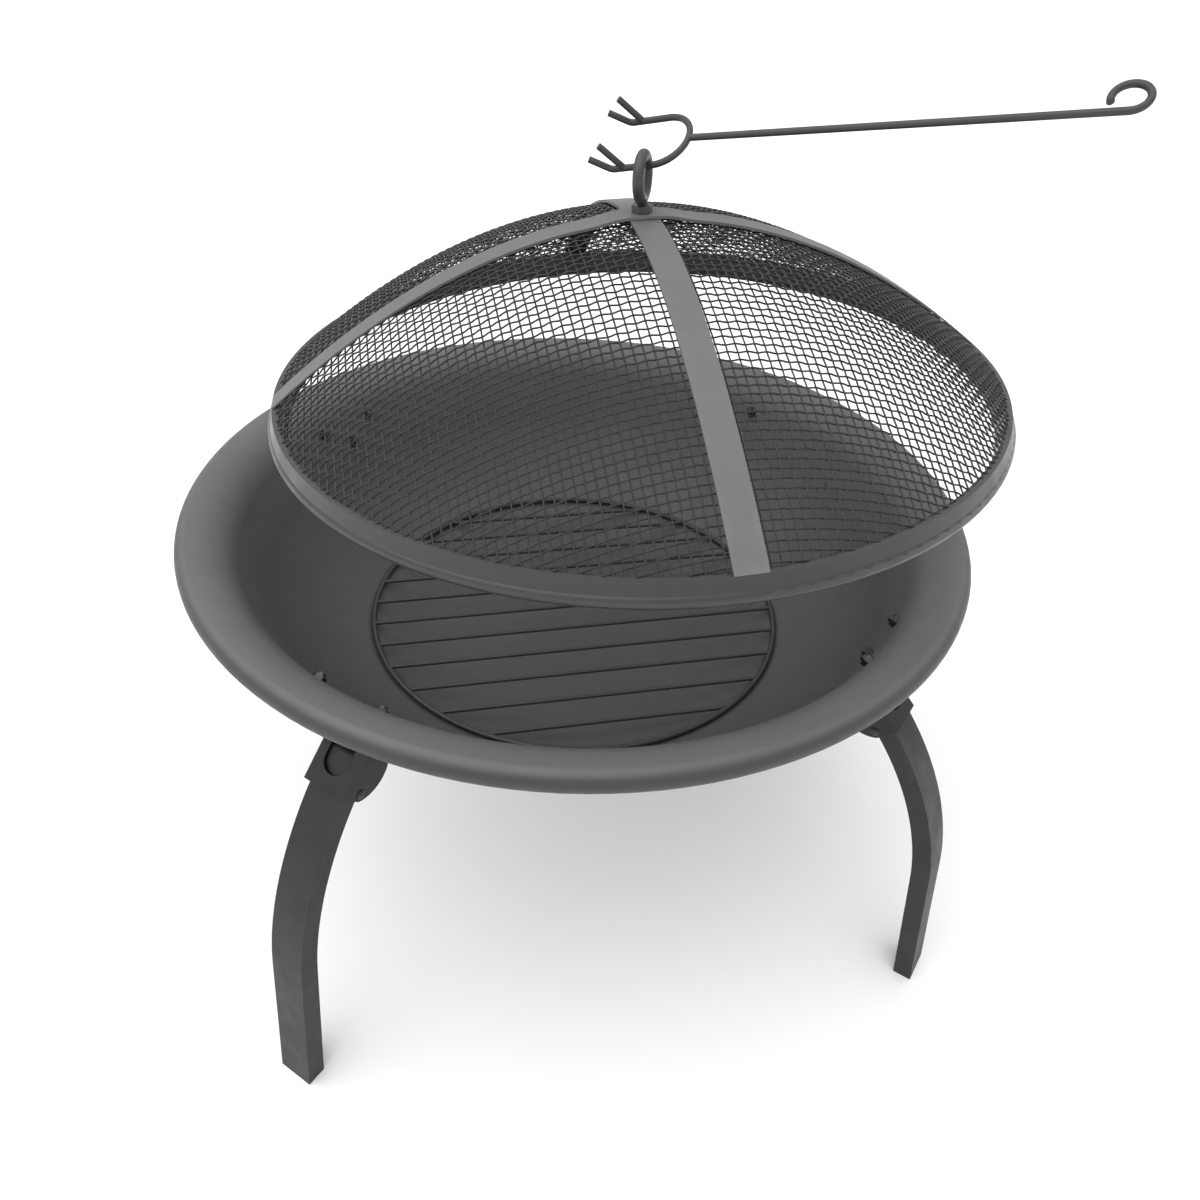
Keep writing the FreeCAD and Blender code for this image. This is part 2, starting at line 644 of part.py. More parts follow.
def lid_place():
    """Where the raised lid's own frame stands."""
    heading, reach = dim("lid_heading"), dim("lid_shift")
    height = dim("crest_height") + dim("lid_lift")
    shift = FreeCAD.Vector(reach * cos(heading), reach * sin(heading), height)
    hinge = FreeCAD.Vector(-sin(heading), cos(heading), 0)
    return FreeCAD.Placement(shift, FreeCAD.Rotation(hinge, -dim("lid_tilt")))


def dome_height(radius, base_radius, rise):
    """The dome's height over the band's top edge at a radius."""
    blend, power = dim("dome_blend"), dim("dome_power") / 2
    low = blend ** power
    fall = (((radius / base_radius) ** 2 + blend) ** power - low) / ((1 + blend) ** power - low)
    return dim("lid_band") + rise * (1 - fall)


def smooth_curve(points):
    curve = Part.BSplineCurve()
    curve.interpolate(points)
    return curve.toShape()


def ring_of_points(low, high, height_at):
    """Points of a section curve between two radii, closer together towards the rim."""
    turns = [90 * index / CURVE_POINTS for index in range(CURVE_POINTS + 1)]
    spread = [low + (high - low) * sin(turn) for turn in turns]
    return [FreeCAD.Vector(radius, 0, height_at(radius)) for radius in spread]


def make_lid_rim():
    """The lid's rim: a rolled edge, a leaning band and a small inner flange."""
    body = new_body("lid_rim")
    sketch = new_sketch(body, "section")
    bead_x = "Dims.lid_radius - Dims.bead_arc"
    flange = f"{bead_x} - Dims.flange_reach"
    draw_loop(sketch, [
        (flange, "0"),
        (bead_x, "0"),
        (f"{bead_x} + Dims.bead_arc * cos(Dims.bead_turn * 1deg)",
         "Dims.bead_arc * (1 + sin(Dims.bead_turn * 1deg))", "Dims.bead_arc", 1),
        ("Dims.band_top", "Dims.lid_band"),
        ("Dims.band_top - Dims.band_sheet", "Dims.lid_band"),
        (flange, "Dims.band_sheet"),
    ])
    revolve(body, sketch, "ring")
    return body


def make_lid_mesh():
    """The woven dome as one thin shell, with a hole for the eye's stem."""
    outer_base = dim("mesh_radius")
    inner_base = outer_base - dim("mesh_sheet")
    inner_rise = dim("dome_rise") - dim("mesh_sheet")
    hole = dim("stem_radius") + dim("stem_fit")
    outer = ring_of_points(hole, outer_base, lambda r: dome_height(r, outer_base, dim("dome_rise")))
    inner = ring_of_points(hole, inner_base, lambda r: dome_height(r, inner_base, inner_rise))
    edges = [
        smooth_curve(outer),
        Part.LineSegment(outer[-1], inner[-1]).toShape(),
        smooth_curve(inner),
        Part.LineSegment(inner[0], outer[0]).toShape(),
    ]
    section = Part.Face(Part.Wire(Part.__sortEdges__(edges)))
    return shape_feature("lid_mesh", section.revolve(FreeCAD.Vector(), FreeCAD.Vector(0, 0, 1), 360))


def strap_shape(step_up):
    """A flat strap over the dome, lifted in the middle by step_up where it crosses the other one."""
    def height_at(radius, lift):
        base = dim("mesh_radius") + lift
        crossing = step_up / (1 + math.exp((abs(radius) - dim("step_place")) / dim("step_run")))
        return dome_height(abs(radius), base, dim("dome_rise") + lift) + crossing

    def outline(lift):
        reach = dim("mesh_radius") + lift
        right = [reach * sin(90 * index / CURVE_POINTS) for index in range(1, CURVE_POINTS + 1)]
        radii = [-radius for radius in reversed(right)] + [0.0] + right
        return [FreeCAD.Vector(radius, 0, height_at(radius, lift)) for radius in radii]

    under, over = outline(dim("mesh_room")), outline(dim("mesh_room") + dim("strap_sheet"))
    edges = [
        smooth_curve(under),
        Part.LineSegment(under[-1], over[-1]).toShape(),
        smooth_curve(over),
        Part.LineSegment(over[0], under[0]).toShape(),
    ]
    side = Part.Face(Part.Wire(Part.__sortEdges__(edges)))
    side.translate(FreeCAD.Vector(0, -dim("strap_width") / 2, 0))
    strap = side.extrude(FreeCAD.Vector(0, dim("strap_width"), 0))
    return strap.cut(Part.makeCylinder(dim("stem_radius") + dim("stem_fit"), dim("lid_radius")))


def make_straps():
    lower = strap_shape(0)
    lower.rotate(FreeCAD.Vector(), FreeCAD.Vector(0, 0, 1), 90)
    upper = strap_shape(dim("strap_sheet") + dim("strap_gap"))
    return [shape_feature("lid_strap_front_to_back", lower), shape_feature("lid_strap_side_to_side", upper)]


def straps_top():
    """The seat of the handle's collar, just over the crossed straps."""
    straps = dim("mesh_room") + 2 * dim("strap_sheet") + dim("strap_gap")
    return dim("lid_band") + dim("dome_rise") + straps + dim("stem_fit")


def make_lid_handle():
    """An eye on a stem through the straps, a hexagon collar above, a washer and a nut below."""
    top = straps_top()
    eye_height = top + dim("collar_height") + dim("eye_radius") + dim("eye_wire")
    ring = doc.addObject("Part::Torus", "eye_ring")
    ring.setExpression("Radius1", "Dims.eye_radius")
    ring.setExpression("Radius2", "Dims.eye_wire")
    upright = FreeCAD.Rotation(FreeCAD.Vector(0, 1, 0), 90)
    ring.Placement = turned(dim("eye_heading")) * FreeCAD.Placement(FreeCAD.Vector(0, 0, eye_height), upright)
    under = dim("lid_band") + dim("dome_rise") - dim("mesh_sheet") - dim("mesh_room") - dim("stem_tail")
    stem_top = top + dim("collar_height") + dim("eye_wire")
    stem = cylinder("eye_stem", "Dims.stem_radius", str(stem_top - under))
    stem.Placement.Base.z = under
    eye = boolean("Fuse", "lid_handle_eye", ring, stem)

    def bored(label, blank, height):
        """A collar, washer or nut on the stem, its lower face at the given height."""
        blank.Placement.Base.z = height
        bore = cylinder(f"{label}_bore", "Dims.stem_radius", "4 * Dims.stem_tail")
        bore.Placement.Base.z = height - dim("stem_tail")
        return boolean("Cut", label, blank, bore)

    def hexagon(name, circle, height):
        prism = doc.addObject("Part::Prism", name)
        prism.Polygon = 6
        prism.setExpression("Circumradius", circle)
        prism.setExpression("Height", height)
        return prism

    washer_seat = under + dim("stem_tail") - dim("washer_sheet")
    collar = hexagon("collar_prism", "Dims.collar_circle", "Dims.collar_height")
    washer = cylinder("washer_plate", "Dims.washer_radius", "Dims.washer_sheet")
    nut = hexagon("tail_nut_prism", "Dims.tail_nut_flats / 2 / cos(30deg)", "Dims.tail_nut_height")
    return [
        eye,
        bored("lid_handle_collar", collar, top),
        bored("lid_handle_washer", washer, washer_seat),
        bored("lid_handle_nut", nut, washer_seat - dim("tail_nut_height")),
    ]


# ---------------------------------------------------------------- poker

def bent_wire(points, bends):
    """A wire path through points, with an arc of the given radius at each inner point."""
    edges, start = [], points[0]
    for before, corner, after, radius in zip(points, points[1:], points[2:], bends):
        back = (before - corner).normalize()
        ahead = (after - corner).normalize()
        half = back.getAngle(ahead) / 2
        middle = (back + ahead).normalize()
        first = corner + back * (radius / math.tan(half))
        last = corner + ahead * (radius / math.tan(half))
        crown = corner + middle * (radius / math.sin(half) - radius)
        if (first - start).Length > 1e-6:
            edges.append(Part.LineSegment(start, first).toShape())
        edges.append(Part.Arc(first, crown, last).toShape())
        start = last
    edges.append(Part.LineSegment(start, points[-1]).toShape())
    return Part.Wire(edges)


def round_bar(path, radius):
    """A round bar along a wire path."""
    start = path.Edges[0]
    normal = start.tangentAt(start.FirstParameter)
    circle = Part.Wire(Part.Circle(start.valueAt(start.FirstParameter), normal, radius).toShape())
    return path.makePipeShell([circle], True, True)


def prong_height(run):
    """The centre height of a prong at a distance behind the fork's crown."""
    return -dim("prong_dip") * run / dim("prong_reach")


def fork_shape():
    side, reach = dim("fork_radius"), dim("prong_reach")
    low = prong_height(reach)
    tip = FreeCAD.Vector(-reach - dim("tip_run"), -side, low + dim("tip_rise"))
    bend = FreeCAD.Vector(-reach, -side, low)
    crown = FreeCAD.Vector(0, -side, 0)
    half = [tip, bend, crown]
    other = [FreeCAD.Vector(point.x, -point.y, point.z) for point in reversed(half)]
    # The crown's two bends leave a short straight between them.
    crown_bend = side - dim("poker_wire") / 10
    path = bent_wire(half + other, [dim("tip_bend"), crown_bend, crown_bend, dim("tip_bend")])
    return round_bar(path, dim("poker_wire"))


def tine_shape(side):
    run = dim("tine_start")
    root = FreeCAD.Vector(-run, side * dim("fork_radius"), prong_height(run))
    rise = FreeCAD.Vector(-dim("tine_run"), 0, dim("tine_rise"))
    return Part.makeCylinder(dim("poker_wire"), rise.Length, root, rise)


def rod_shape():
    """The rod, with its far end bent round into an open hand loop."""
    length, loop = dim("rod_length"), dim("loop_radius")
    start, turn_in = FreeCAD.Vector(dim("poker_wire") / 4, 0, 0), FreeCAD.Vector(length, 0, 0)
    turn = dim("loop_turn")

    def on_loop(degrees):
        return FreeCAD.Vector(length + loop * sin(degrees), loop - loop * cos(degrees), 0)

    path = Part.Wire([
        Part.LineSegment(start, turn_in).toShape(),
        Part.Arc(turn_in, on_loop(turn / 4), on_loop(turn / 2)).toShape(),
        Part.Arc(on_loop(turn / 2), on_loop(turn * 3 / 4), on_loop(turn)).toShape(),
    ])
    return round_bar(path, dim("poker_wire"))


def poker_place():
    """The poker's frame, its near prong under the top of the lid's eye."""
    heading = FreeCAD.Rotation(FreeCAD.Vector(0, 0, 1), dim("poker_heading"))
    rise = FreeCAD.Rotation(FreeCAD.Vector(0, 1, 0), -dim("poker_rise"))
    roll = FreeCAD.Rotation(FreeCAD.Vector(1, 0, 0), dim("poker_roll"))
    turn = heading * rise * roll
    hook = FreeCAD.Vector(-dim("hook_place"), -dim("fork_radius"), prong_height(dim("hook_place")))
    eye_inner_top = straps_top() + dim("collar_height") + 2 * dim("eye_radius")
    held_height = eye_inner_top - dim("poker_wire") - dim("hook_gap")
    held = lid_place().multVec(FreeCAD.Vector(0, 0, held_height))
    return FreeCAD.Placement(held - turn.multVec(hook), turn)


def make_poker():
    return [
        shape_feature("poker_rod", rod_shape()),
        shape_feature("poker_fork", fork_shape()),
        shape_feature("poker_tine_near", tine_shape(-1)),
        shape_feature("poker_tine_far", tine_shape(1)),
    ]


# ---------------------------------------------------------------- build

def place_all(pieces, place):
    for piece in pieces:
        piece.Placement = place * piece.Placement


def build():
    parts = [make_bowl()]
    screw, nut, stud = screw_pattern(), nut_pattern(), stud_pattern()
    for corner in CORNERS:
        parts += [make_leg(corner), make_bracket(corner), make_pivot_pin(corner)]
        parts += make_fasteners(corner, screw, nut, stud)
    parts += make_grate()
    lid = [make_lid_rim(), make_lid_mesh()] + make_straps() + make_lid_handle()
    doc.recompute()
    place_all(lid, lid_place())
    poker = make_poker()
    place_all(poker, poker_place())
    return parts + lid + poker


def check_document():
    doc.recompute()
    failed = [item.Name for item in doc.Objects if "Invalid" in item.State or "Error" in item.State]
    if failed:
        raise RuntimeError(f"failed objects: {failed}")


def write(parts):
    os.makedirs("parts", exist_ok=True)
    for part in parts:
        if part.Shape.isNull() or not part.Shape.isValid():
            raise RuntimeError(f"bad shape: {part.Label}")
        part.Shape.exportStep(f"parts/{part.Label}.step")


sub_parts = build()
check_document()
write(sub_parts)
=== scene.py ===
import json
import math

import bpy
import numpy as np
from mathutils import Matrix, Vector


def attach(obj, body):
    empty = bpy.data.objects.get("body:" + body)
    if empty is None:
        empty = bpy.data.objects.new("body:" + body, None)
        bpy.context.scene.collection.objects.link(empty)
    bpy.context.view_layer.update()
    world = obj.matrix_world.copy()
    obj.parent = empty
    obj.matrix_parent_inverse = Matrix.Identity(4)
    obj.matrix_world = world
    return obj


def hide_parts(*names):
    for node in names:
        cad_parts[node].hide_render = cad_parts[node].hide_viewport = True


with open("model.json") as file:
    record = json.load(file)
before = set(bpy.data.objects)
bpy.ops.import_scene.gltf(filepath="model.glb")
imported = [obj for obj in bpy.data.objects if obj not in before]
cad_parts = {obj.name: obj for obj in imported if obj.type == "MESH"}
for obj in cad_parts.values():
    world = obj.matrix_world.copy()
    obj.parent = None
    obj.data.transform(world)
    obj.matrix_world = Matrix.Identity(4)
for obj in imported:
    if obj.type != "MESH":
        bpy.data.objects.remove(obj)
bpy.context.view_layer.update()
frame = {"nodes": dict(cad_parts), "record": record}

nodes = frame["nodes"]

# ---------------------------------------------------------------- materials


def srgb(value):
    """Linear value of a grey given as an 8-bit sRGB level."""
    level = value / 255
    return level / 12.92 if level <= 0.04045 else ((level + 0.055) / 1.055) ** 2.4


def grey(value, tint=(1.0, 1.0, 1.0)):
    linear = srgb(value)
    return tuple(linear * part for part in tint) + (1.0,)


class Shader:
    """A small helper that builds a node tree round one Principled shader."""

    def __init__(self, name):
        self.material = bpy.data.materials.new(name)
        self.material.use_nodes = True
        self.tree = self.material.node_tree
        self.shader = self.tree.nodes["Principled BSDF"]
        self.place = self.node("ShaderNodeTexCoord").outputs["Object"]

    def node(self, kind, **values):
        made = self.tree.nodes.new(kind)
        for key, value in values.items():
            if key in made.inputs:
                made.inputs[key].default_value = value
            else:
                setattr(made, key, value)
        return made

    def link(self, source, target):
        self.tree.links.new(source, target)

    def noise(self, scale, detail=3.0, roughness=0.55, stretch=None):
        made = self.node("ShaderNodeTexNoise")
        made.inputs["Scale"].default_value = scale
        made.inputs["Detail"].default_value = detail
        made.inputs["Roughness"].default_value = roughness
        source = self.place
        if stretch:
            mapping = self.node("ShaderNodeMapping")
            mapping.inputs["Scale"].default_value = stretch
            self.link(source, mapping.inputs["Vector"])
            source = mapping.outputs["Vector"]
        self.link(source, made.inputs["Vector"])
        return made.outputs["Fac"]

    def spread(self, source, low, high, start=0.3, end=0.7):
        made = self.node("ShaderNodeMapRange")
        made.inputs["From Min"].default_value = start
        made.inputs["From Max"].default_value = end
        made.inputs["To Min"].default_value = low
        made.inputs["To Max"].default_value = high
        self.link(source, made.inputs["Value"])
        return made.outputs["Result"]

    def mix(self, factor, first, second):
        made = self.node("ShaderNodeMix", data_type="RGBA")
        for socket, value in ((made.inputs[6], first), (made.inputs[7], second)):
            if isinstance(value, tuple):
                socket.default_value = value
            else:
                self.link(value, socket)
        self.link(factor, made.inputs[0])
        return made.outputs[2]

    def smooth(self, source, start, end):
        made = self.node("ShaderNodeMapRange", interpolation_type="SMOOTHSTEP")
        made.inputs["From Min"].default_value = start
        made.inputs["From Max"].default_value = end
        self.link(source, made.inputs["Value"])
        return made.outputs["Result"]

    def scaled(self, colour, factor):
        """A colour times a number."""
        made = self.node("ShaderNodeMix", data_type="RGBA", blend_type="MULTIPLY")
        made.inputs[0].default_value = 1.0
        grey_level = self.node("ShaderNodeCombineColor")
        for index in range(3):
            self.link(factor, grey_level.inputs[index])
        if isinstance(colour, tuple):
            made.inputs[6].default_value = colour
        else:
            self.link(colour, made.inputs[6])
        self.link(grey_level.outputs[0], made.inputs[7])
        return made.outputs[2]

    def bump(self, height, distance, strength=1.0, after=None):
        made = self.node("ShaderNodeBump")
        made.inputs["Strength"].default_value = strength
        made.inputs["Distance"].default_value = distance
        self.link(height, made.inputs["Height"])
        if after is not None:
            self.link(after, made.inputs["Normal"])
        return made.outputs["Normal"]


def powder_parts(name, rough, grain=0.00003, speck=0.06, edge=0.25):
    """A satin powder coat with fine grain and faint mottling; the colour is finished by the caller."""
    made = Shader(name)
    cloud, fine = made.noise(9.0, 4.0), made.noise(1400.0, 2.0)
    corner = made.node("ShaderNodeNewGeometry").outputs["Pointiness"]

    def finish(base):
        """Mottle a base colour, and lighten it in specks and where the metal turns sharply."""
        mottled = made.scaled(base, made.spread(cloud, 1 - speck, 1 + speck))
        dusty = made.scaled(mottled, made.spread(fine, 1.0, 1.25, 0.62, 0.8))
        return made.scaled(dusty, made.spread(corner, 1.0, 1 + edge, 0.54, 0.62))

    made.link(made.spread(made.noise(60.0, 3.0), rough - 0.06, rough + 0.07), made.shader.inputs["Roughness"])
    made.shader.inputs["Specular IOR Level"].default_value = 0.45
    orange = made.bump(made.noise(420.0, 2.0), grain * 2.2, 0.6)
    made.link(made.bump(fine, grain, 0.8, orange), made.shader.inputs["Normal"])
    return made, finish


def powder_coat(name, level, rough=0.5):
    made, finish = powder_parts(name, rough)
    made.link(finish(grey(level)), made.shader.inputs["Base Color"])
    return made.material


def plated_steel(name, level, rough=0.38):
    """Dull plated steel with fine scuffs."""
    made = Shader(name)
    cloud = made.noise(140.0, 3.0)
    made.link(made.mix(made.spread(cloud, 0.0, 1.0), grey(level * 0.8), grey(level * 1.15)),
              made.shader.inputs["Base Color"])
    made.shader.inputs["Metallic"].default_value = 0.85
    scuffs = made.spread(made.noise(500.0, 2.0), rough - 0.08, rough + 0.12)
    made.link(scuffs, made.shader.inputs["Roughness"])
    made.link(made.bump(made.noise(900.0, 3.0), 0.00003, 0.6), made.shader.inputs["Normal"])
    return made.material


def bowl_coat():
    """The bowl's coat with painted light: a painted lit band on the broad rim, painted shade inside and
    painted shade round the rolled edge.
    """
    made, finish = powder_parts("bowl_coat", 0.48)
    split = made.node("ShaderNodeSeparateXYZ")
    made.link(made.place, split.inputs[0])
    flat = made.node("ShaderNodeCombineXYZ")
    made.link(split.outputs[0], flat.inputs[0])
    made.link(split.outputs[1], flat.inputs[1])
    reach = made.node("ShaderNodeVectorMath", operation="LENGTH")
    made.link(flat.outputs[0], reach.inputs[0])
    # painted light: the broad rim is painted lighter as if lit, and the inside darker as painted shade
    flare_light = made.smooth(reach.outputs["Value"], *FLARE_LIGHT_BAND)
    # painted shade: the rolled outer edge is painted darker where it turns away from the light
    roll = made.smooth(reach.outputs["Value"], *ROLL_SHADE_BAND)
    base = made.mix(flare_light, grey(INSIDE_SHADE_GREY), grey(FLARE_LIT_GREY))
    base = made.mix(roll, base, grey(ROLL_SHADE_GREY))
    made.link(finish(base), made.shader.inputs["Base Color"])
    return made.material


# The bowl's painted-light greys (painted shade inside, a painted lit rim, painted shade on the rolled edge),
# and the distances from its axis (in metres) over which one changes into the next.
INSIDE_SHADE_GREY, FLARE_LIT_GREY, ROLL_SHADE_GREY = 72, 92, 54
FLARE_LIGHT_BAND = (0.224, 0.246)
ROLL_SHADE_BAND = (0.2735, 0.2798)

BOWL = bowl_coat()
LEG = powder_coat("leg_coat", 24, 0.52)
BRACKET = powder_coat("bracket_coat", 12, 0.52)
GRATE = powder_coat("grate_coat", 46, 0.32)
RIM = powder_coat("lid_coat", 54, 0.36)
STRAP = powder_coat("strap_coat", 98, 0.5)
WIRE = powder_coat("mesh_wire_coat", 20, 0.34)
POKER = powder_coat("poker_coat", 52, 0.42)
HANDLE = powder_coat("handle_coat", 58, 0.4)
STUD = powder_coat("stud_coat", 30, 0.4)
STEEL = plated_steel("dark_plated_steel", 76)
PIN = plated_steel("pin_steel", 60, 0.5)

SLOT_MATERIALS = {
    "bowl_coat": BOWL, "leg_coat": LEG, "bracket_coat": BRACKET, "pin_steel": PIN, "stud_black": STUD,
    "screw_zinc": STEEL, "grate_wire": GRATE, "lid_coat": RIM, "lid_mesh_wire": WIRE, "strap_coat": STRAP,
    "handle_coat": HANDLE, "poker_coat": POKER,
}


def coat(piece, material):
    piece.data.materials.clear()
    piece.data.materials.append(material)


def shade_by_angle(piece, degrees=35):
    """Smooth faces with creases kept, by marking the sharp edges of the mesh."""
    mesh = piece.data
    mesh.polygons.foreach_set("use_smooth", [True] * len(mesh.polygons))
    mesh.set_sharp_from_angle(angle=math.radians(degrees))


for part in frame["record"]["subparts"]:
    piece = nodes[part["node"]]
    coat(piece, SLOT_MATERIALS[part["material_slot"]])

# ---------------------------------------------------------------- the lid's mesh, woven from crimped wire

MM = 0.001
LID_HEADING = math.radians(-12)
LID_SHIFT, LID_LIFT, CREST = 37.4, 80.7, 312.8
LID_TILT = math.radians(-2.95)
BAND = 17
HALF_SHELL = 0.5  # the CAD shell's middle surface lies this far under its outer face
MESH_RADIUS, MESH_RISE = 236.8 - HALF_SHELL, 98 - HALF_SHELL
DOME_POWER, DOME_BLEND = 1.9, 0.02
PITCH = 5.6
WIRE_RADIUS = 0.55
WAVE_ALONG, WAVE_ACROSS = 0.12, 0.5
RING_SIDES, STEPS = 6, 4
TUCK = 2.2  # how far a wire runs on behind the lid's band

lid_axis = Vector((-math.sin(LID_HEADING), math.cos(LID_HEADING), 0))
lid_base = Vector((LID_SHIFT * math.cos(LID_HEADING), LID_SHIFT * math.sin(LID_HEADING), CREST + LID_LIFT))


def dome(radius):
    """The height and the slope of the mesh's middle surface at a radius, in millimetres."""
    radius = np.asarray(radius, float)
    half = DOME_POWER / 2
    low = DOME_BLEND ** half
    span = (1 + DOME_BLEND) ** half - low
    inside = (radius / MESH_RADIUS) ** 2 + DOME_BLEND
    height = BAND + MESH_RISE * (1 - (inside ** half - low) / span)
    slope = -MESH_RISE * half * inside ** (half - 1) * 2 * radius / MESH_RADIUS ** 2 / span
    return height, slope


def on_dome(flat):
    return np.append(flat, dome(math.hypot(*flat))[0])


def woven_corners():
    """Crossings of the wires for one quarter of the dome: a cell keeps its side length and only shears."""
    reach = MESH_RADIUS + 3 * PITCH
    axis = [0.0]
    while axis[-1] < reach:
        slope = dome(axis[-1])[1]
        ahead = axis[-1] + PITCH / math.hypot(1, slope)
        slope = (slope + dome(ahead)[1]) / 2
        axis.append(axis[-1] + PITCH / math.hypot(1, slope))
    count = len(axis)
    corners = np.full((count, count, 2), np.nan)
    corners[:, 0, 0], corners[:, 0, 1] = axis, 0
    corners[0, :, 0], corners[0, :, 1] = 0, axis
    for i in range(1, count):
        for j in range(1, count):
            first, second, behind = corners[i - 1, j], corners[i, j - 1], corners[i - 1, j - 1]
            if np.isnan(first).any() or np.isnan(second).any():
                continue
            spot = first + second - behind
            if math.hypot(*spot) > reach:
                continue
            a, b = on_dome(first), on_dome(second)
            for _ in range(6):
                height, slope = dome(math.hypot(*spot))
                gradient = slope * spot / max(math.hypot(*spot), 1e-9)
                da, db = np.append(spot, height) - a, np.append(spot, height) - b
                miss = np.array([da @ da, db @ db]) - PITCH ** 2
                jacobian = np.array([2 * (da[:2] + da[2] * gradient), 2 * (db[:2] + db[2] * gradient)])
                spot = spot - np.linalg.solve(jacobian, miss)
            corners[i, j] = spot
    return corners


def whole_net(quarter):
    """The quarter's crossings mirrored to all four quarters."""
    count = len(quarter)
    size = 2 * count - 1
    net = np.full((size, size, 2), np.nan)
    for sign_x in (1, -1):
        for sign_y in (1, -1):
            for i in range(count):
                for j in range(count):
                    net[count - 1 + sign_x * i, count - 1 + sign_y * j] = quarter[i, j] * (sign_x, sign_y)
    return net


def spline(points, steps):
    """Points of a smooth curve through the given ones, with the running index of each."""
    padded = np.vstack([2 * points[0] - points[1], points, 2 * points[-1] - points[-2]])
    rows, marks = [], []
    for index in range(len(points) - 1):
        p0, p1, p2, p3 = padded[index:index + 4]
        for step in range(steps):
            u = step / steps
            rows.append(0.5 * (2 * p1 + (p2 - p0) * u + (2 * p0 - 5 * p1 + 4 * p2 - p3) * u ** 2
                               + (3 * p1 - p0 - 3 * p2 + p3) * u ** 3))
            marks.append(index + u)
    rows.append(points[-1])
    marks.append(len(points) - 1)
    return np.array(rows), np.array(marks)


def tube(path, normals, radius, sides):
    """Vertices and faces of a round wire along a path, closed at both ends."""
    tangents = np.gradient(path, axis=0)
    tangents /= np.linalg.norm(tangents, axis=1)[:, None]
    across = np.cross(tangents, normals)
    across /= np.linalg.norm(across, axis=1)[:, None]
    upward = np.cross(across, tangents)
    turns = np.linspace(0, 2 * math.pi, sides, endpoint=False) + math.pi / sides
    rings = [path + radius * (math.cos(turn) * upward + math.sin(turn) * across) for turn in turns]
    vertices = np.stack(rings, axis=1).reshape(-1, 3)
    faces = []
    for index in range(len(path) - 1):
        row = index * sides
        for side in range(sides):
            other = (side + 1) % sides
            faces.append((row + side, row + other, row + sides + other, row + sides + side))
    faces.append(tuple(range(sides - 1, -1, -1)))
    last = (len(path) - 1) * sides
    faces.append(tuple(last + side for side in range(sides)))
    return vertices, faces


def make_mesh_piece(name, vertices, faces, place=None, material=None, crease=35):
    mesh = bpy.data.meshes.new(name)
    mesh.from_pydata([tuple(v) for v in vertices], [], faces)
    mesh.validate()
    if place is not None:
        mesh.transform(place)
    piece = bpy.data.objects.new(name, mesh)
    bpy.context.scene.collection.objects.link(piece)
    if material:
        coat(piece, material)
    shade_by_angle(piece, crease)
    return piece


def wire_piece(crossings, marks_parity, wave):
    """One crimped wire through a run of crossings, cut off inside the lid's band."""
    keep = ~np.isnan(crossings).any(axis=1)
    run = np.flatnonzero(keep)
    if len(run) < 3:
        return None
    flat, marks = spline(crossings[run[0]:run[-1] + 1], STEPS)
    marks = marks + run[0]
    radii = np.hypot(flat[:, 0], flat[:, 1])
    inside = radii < MESH_RADIUS + TUCK
    if inside.sum() < 4:
        return None
    flat, marks, radii = flat[inside], marks[inside], radii[inside]
    height, slope = dome(radii)
    outward = flat / np.maximum(radii, 1e-9)[:, None]
    normals = np.column_stack([-slope[:, None] * outward, np.ones(len(flat))])
    normals /= np.linalg.norm(normals, axis=1)[:, None]
    offset = wave * np.cos(math.pi * (marks + marks_parity))
    path = np.column_stack([flat, height]) + normals * offset[:, None]
    return tube(path, normals, WIRE_RADIUS, RING_SIDES)


def make_wires():
    net = whole_net(woven_corners())
    vertices, faces, total = [], [], 0
    size = len(net)
    for index in range(size):
        runs = ((net[index], index, WAVE_ALONG), (net[:, index], index + 1, WAVE_ACROSS))
        for crossings, parity, wave in runs:
            made = wire_piece(crossings, parity, wave)
            if made is None:
                continue
            vertices.append(made[0])
            faces += [tuple(corner + total for corner in face) for face in made[1]]
            total += len(made[0])
    place = Matrix.Translation(lid_base * MM) @ Matrix.Rotation(LID_TILT, 4, lid_axis)
    piece = make_mesh_piece("lid_mesh_wires", np.vstack(vertices) * MM, faces, place, WIRE, 60)
    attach(piece, "lid")
    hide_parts("lid_mesh")
    return piece


make_wires()

# ---------------------------------------------------------------- floor, light, camera


def make_floor():
    size = 40.0
    piece = make_mesh_piece("floor", [(-size, -size, 0), (size, -size, 0), (size, size, 0), (-size, size, 0)],
                            [(0, 1, 2, 3)])
    paper = Shader("studio_floor")
    cloud = paper.spread(paper.noise(3.0), 0.0, 1.0)
    pale = paper.mix(cloud, (0.93, 0.93, 0.93, 1), (0.95, 0.95, 0.95, 1))
    paper.link(pale, paper.shader.inputs["Base Color"])
    paper.shader.inputs["Roughness"].default_value = 0.9
    coat(piece, paper.material)


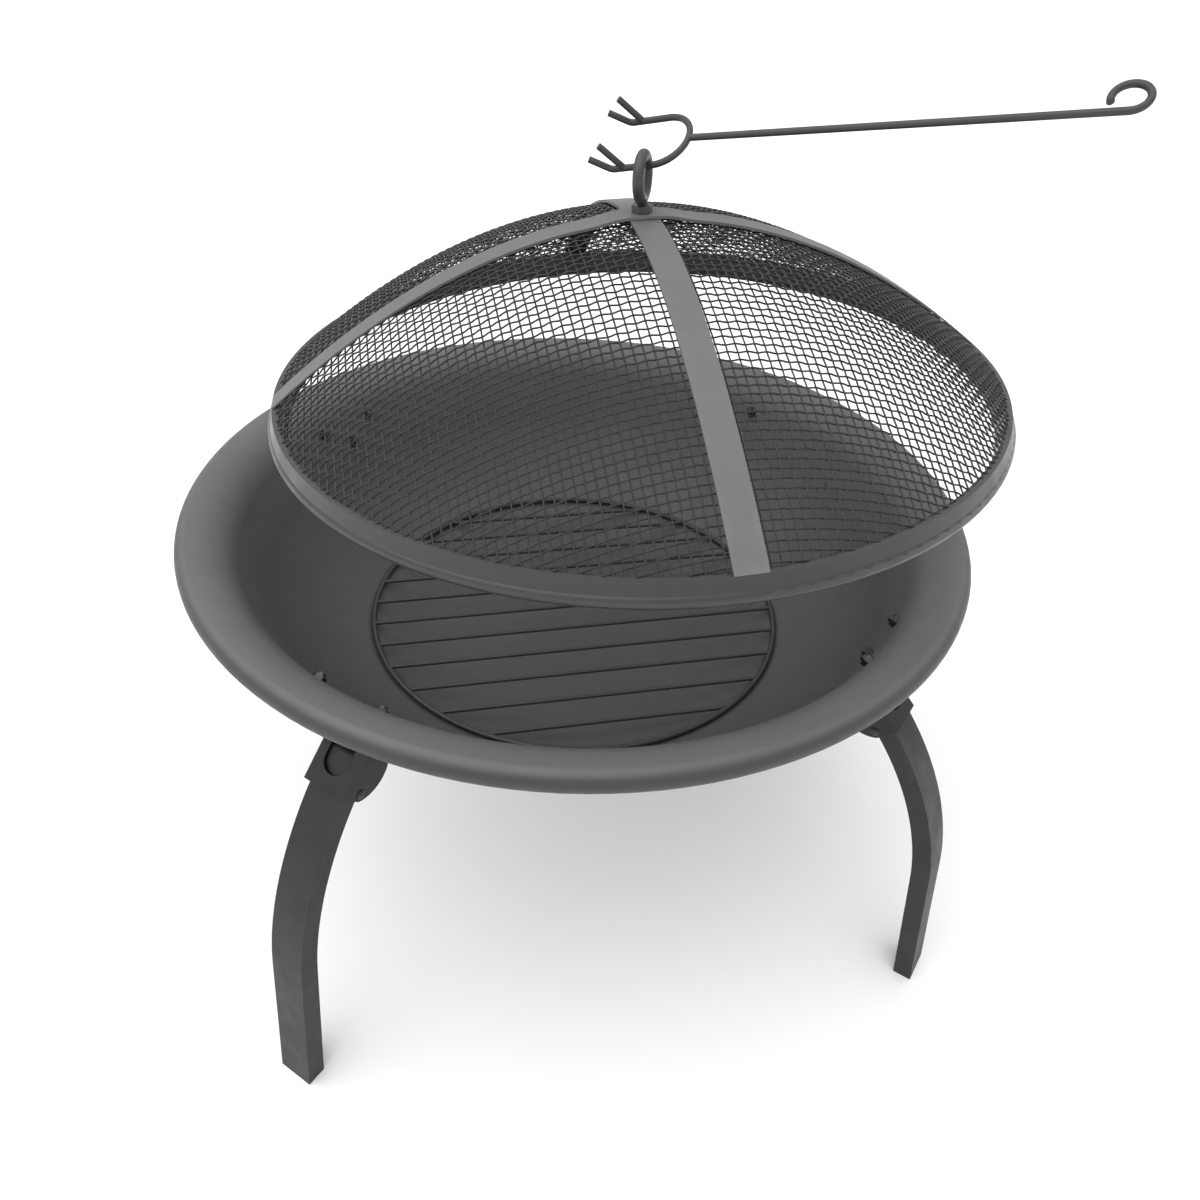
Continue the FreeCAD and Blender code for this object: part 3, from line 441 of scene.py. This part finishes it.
def sun(name, place, power, spread):
    """A wide soft sun shining from a place towards the object."""
    lamp = bpy.data.lights.new(name, "SUN")
    lamp.energy = power
    lamp.angle = math.radians(spread)
    made = bpy.data.objects.new(name, lamp)
    made.location = place
    made.rotation_mode = "QUATERNION"
    made.rotation_quaternion = (-Vector(place)).to_track_quat("-Z", "Y")
    bpy.context.scene.collection.objects.link(made)


def make_world(horizon, zenith):
    """Plain white light from all round, stronger from above."""
    world = bpy.data.worlds.new("studio")
    world.use_nodes = True
    tree = world.node_tree
    place = tree.nodes.new("ShaderNodeTexCoord")
    split = tree.nodes.new("ShaderNodeSeparateXYZ")
    climb = tree.nodes.new("ShaderNodeMapRange")
    climb.inputs["To Min"].default_value = horizon
    climb.inputs["To Max"].default_value = zenith
    tree.links.new(place.outputs["Generated"], split.inputs[0])
    tree.links.new(split.outputs[2], climb.inputs["Value"])
    background = tree.nodes["Background"]
    background.inputs["Color"].default_value = (1, 1, 1, 1)
    tree.links.new(climb.outputs["Result"], background.inputs["Strength"])
    bpy.context.scene.world = world


def make_camera():
    """The camera stands close, a little to the left, and looks down; it is rolled a few degrees."""
    heading, down, roll = math.radians(13.94), math.radians(37.26), math.radians(3.51)
    level = math.cos(down)
    forward = Vector((math.sin(heading) * level, math.cos(heading) * level, -math.sin(down)))
    right = Vector((math.cos(heading), -math.sin(heading), 0))
    upward = right.cross(forward)
    side = right * math.cos(roll) + upward * math.sin(roll)
    top = upward * math.cos(roll) - right * math.sin(roll)
    data = bpy.data.cameras.new("camera")
    data.lens = 29.87
    data.sensor_width = 36
    data.shift_x, data.shift_y = -0.0045, -0.0077
    data.clip_start, data.clip_end = 0.02, 50
    camera = bpy.data.objects.new("camera", data)
    camera.rotation_mode = "QUATERNION"
    camera.rotation_quaternion = Matrix((side, top, -forward)).transposed().to_quaternion()
    camera.location = (-0.128, -0.6114, 0.6966)
    bpy.context.scene.collection.objects.link(camera)
    bpy.context.scene.camera = camera


make_floor()
make_world(0.55, 1.3)
sun("key", (-1.0, -0.25, 1.9), 1.6, 75)
make_camera()
bpy.context.scene.view_settings.view_transform = "Standard"
